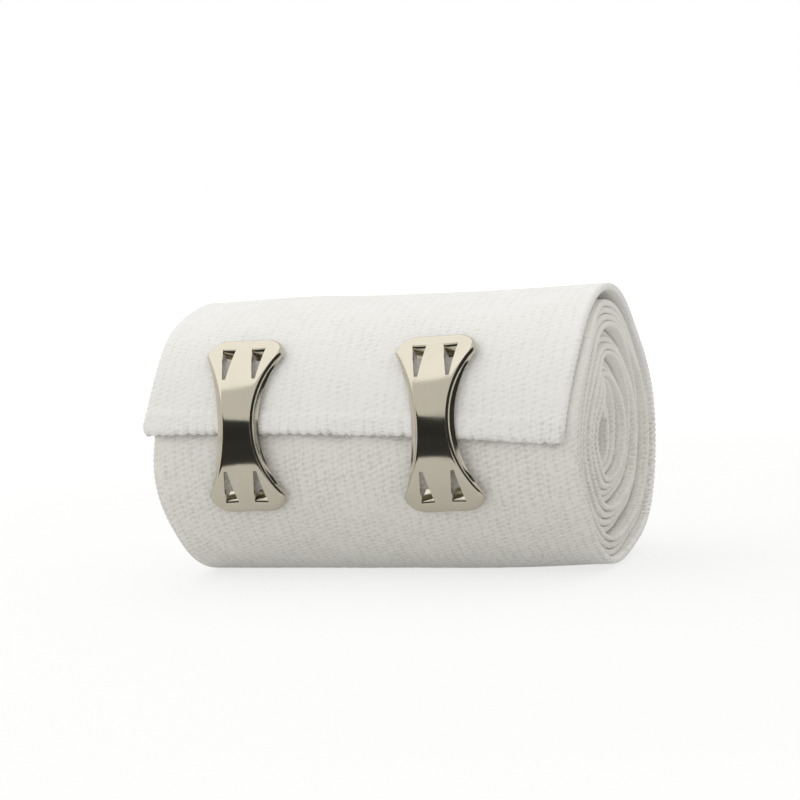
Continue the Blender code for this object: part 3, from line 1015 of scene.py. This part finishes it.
class BANDAGE_OT_clips(bpy.types.Operator):
    """Stamps the two clips and seats them on the roll."""

    bl_idname = "bandage.clips"
    bl_label = "Stamped clips"

    def execute(self, context):
        scene = context.scene
        clip = scene.bandage_clip
        material = metal_material(scene.bandage_finishes)
        for row in CLIPS:
            shape = ClipShape(clip, scene.bandage_roll, scene.bandage_knit, row)
            mesh = make_clip_mesh(row["piece"], shape)
            piece = finish_piece(row["piece"], mesh, material, [row["node"]])
            wall = piece.modifiers.new("sheet", "SOLIDIFY")
            wall.thickness = clip.sheet
            wall.offset = 1.0
            rounding = piece.modifiers.new("rounding", "BEVEL")
            rounding.width = clip.sheet / 4.0
            rounding.segments = 2
            rounding.limit_method = "ANGLE"
            rounding.angle_limit = math.radians(40.0)
            rounding.harden_normals = True
        return {"FINISHED"}


class BANDAGE_OT_stage(bpy.types.Operator):
    """Lays the pale floor and sets up the soft lights and the camera."""

    bl_idname = "bandage.stage"
    bl_label = "Studio"

    VIEW = {"azimuth": 21.5, "elevation": 5.43, "roll": -3.73, "distance": 0.4152, "lens": 108.0}
    TARGET = (-0.00127, 0.0, 0.02856)
    SCREENS = [
        {"name": "front_screen", "start": -142.0, "sweep": 64.0, "near": 0.085, "far": 0.55, "height": 0.15},
        {"name": "right_screen", "start": -76.0, "sweep": 66.0, "near": 0.30, "far": 0.40, "height": 0.42},
    ]

    def execute(self, context):
        scene = context.scene
        self.lay_floor(scene)
        self.light(scene)
        self.aim_camera(scene)
        return {"FINISHED"}

    def lay_floor(self, scene):
        """A wide round floor."""
        bm = bmesh.new()
        bmesh.ops.create_circle(bm, cap_ends=True, segments=96, radius=6.0)
        mesh = finished_mesh("studio_floor", bm)
        add_object("studio_floor", mesh, floor_material(scene.bandage_finishes))

    def light(self, scene):
        """A soft box over the roll, a bright room, and dark screens that only the metal shows."""
        lamp = bpy.data.lights.new("top_light", "AREA")
        lamp.shape = "SQUARE"
        lamp.size = 1.45
        lamp.energy = 3.55
        box = add_object("top_light", lamp)
        box.location = (-0.34, 0.02, 0.70)
        aim = Vector((0.0, 0.0, 0.02)) - box.location
        box.rotation_euler = aim.to_track_quat("-Z", "Y").to_euler()
        world = bpy.data.worlds.new("studio_room")
        world.use_nodes = True
        scene.world = world
        graph = Graph.of_tree(world.node_tree)
        facing = graph.node("ShaderNodeTexCoord", output="Generated")
        split = graph.node("ShaderNodeSeparateXYZ", None, {0: facing})
        height = split.other("Z").lift(-0.1, 0.95)
        room = graph.mix(height, (0.76, 0.75, 0.725, 1.0), (0.74, 0.74, 0.74, 1.0))
        seen = graph.node("ShaderNodeLightPath")
        shown = graph.mix(seen, room, (1.0, 1.0, 1.0, 1.0))
        graph.join(shown, graph.tree.nodes["Background"].inputs["Color"])
        scene.view_settings.view_transform = "Standard"
        graph = Graph("dark_screen")
        graph.shade(Base_Color=(0.038, 0.039, 0.038, 1.0), Roughness=1.0, Specular_IOR_Level=0.0)
        for row in self.SCREENS:
            self.set_screen(row, graph.material)

    def set_screen(self, row, material):
        """A dark screen round the roll: flat just over the floor, then upright at its far rim."""
        bm = bmesh.new()
        low = 0.0006
        places = [(row["near"], 0.0, low), (row["far"], 0.0, low), (row["far"], 0.0, row["height"])]
        profile = [bm.verts.new(place) for place in places]
        edges = [bm.edges.new(pair) for pair in zip(profile, profile[1:])]
        bmesh.ops.rotate(bm, verts=profile, matrix=Matrix.Rotation(math.radians(row["start"]), 3, "Z"))
        sweep = math.radians(row["sweep"])
        bmesh.ops.spin(bm, geom=profile + edges, axis=(0.0, 0.0, 1.0), steps=24, angle=sweep)
        screen = add_object(row["name"], finished_mesh(row["name"], bm), material)
        for ray in ("camera", "diffuse", "transmission", "volume_scatter", "shadow"):
            setattr(screen, f"visible_{ray}", False)

    def aim_camera(self, scene):
        """The photograph's view: low, from the right of the front, and slightly rolled."""
        azimuth, elevation, roll = [math.radians(self.VIEW[key]) for key in ("azimuth", "elevation", "roll")]
        level = Vector((math.cos(azimuth), math.sin(azimuth), 0.0))
        flat = math.cos(elevation)
        back = Vector((math.sin(azimuth) * flat, -math.cos(azimuth) * flat, math.sin(elevation)))
        upright = back.cross(level)
        right = level * math.cos(roll) + upright * math.sin(roll)
        up = upright * math.cos(roll) - level * math.sin(roll)
        camera = add_object("camera", bpy.data.cameras.new("camera"))
        camera.data.sensor_width = 36.0
        camera.data.lens = self.VIEW["lens"]
        camera.data.clip_start = 0.01
        turned = Matrix((right, up, back)).transposed().to_4x4()
        place = Vector(self.TARGET) + back * self.VIEW["distance"]
        camera.matrix_world = Matrix.Translation(place) @ turned
        scene.camera = camera


class BANDAGE_PT_panel(bpy.types.Panel):
    """Sizes of the bandage and the steps that make it."""

    bl_idname = "BANDAGE_PT_panel"
    bl_label = "Bandage"
    bl_space_type = "VIEW_3D"
    bl_region_type = "UI"
    bl_category = "Bandage"

    def draw(self, context):
        layout = self.layout
        for operator in OPERATORS:
            layout.operator(operator.bl_idname)
        for name in SETTINGS:
            settings = getattr(context.scene, name)
            box = layout.box()
            box.label(text=settings.__doc__ or name)
            for key in settings.__annotations__:
                box.prop(settings, key)


OPERATORS = (BANDAGE_OT_strip, BANDAGE_OT_overlock, BANDAGE_OT_clips, BANDAGE_OT_stage)
SETTINGS = {
    "bandage_roll": RollSizes,
    "bandage_knit": KnitSizes,
    "bandage_clip": ClipSizes,
    "bandage_finishes": Finishes,
}


CLASSES = (*SETTINGS.values(), *OPERATORS, BANDAGE_PT_panel)


def register():
    for item in CLASSES:
        bpy.utils.register_class(item)
    for name, group in SETTINGS.items():
        setattr(bpy.types.Scene, name, PointerProperty(type=group))


def unregister():
    for name in SETTINGS:
        delattr(bpy.types.Scene, name)
    for item in reversed(CLASSES):
        bpy.utils.unregister_class(item)


def main():
    register()
    bpy.ops.bandage.strip()
    bpy.ops.bandage.overlock()
    bpy.ops.bandage.clips()
    bpy.ops.bandage.stage()


if __name__ == "__main__":
    main()
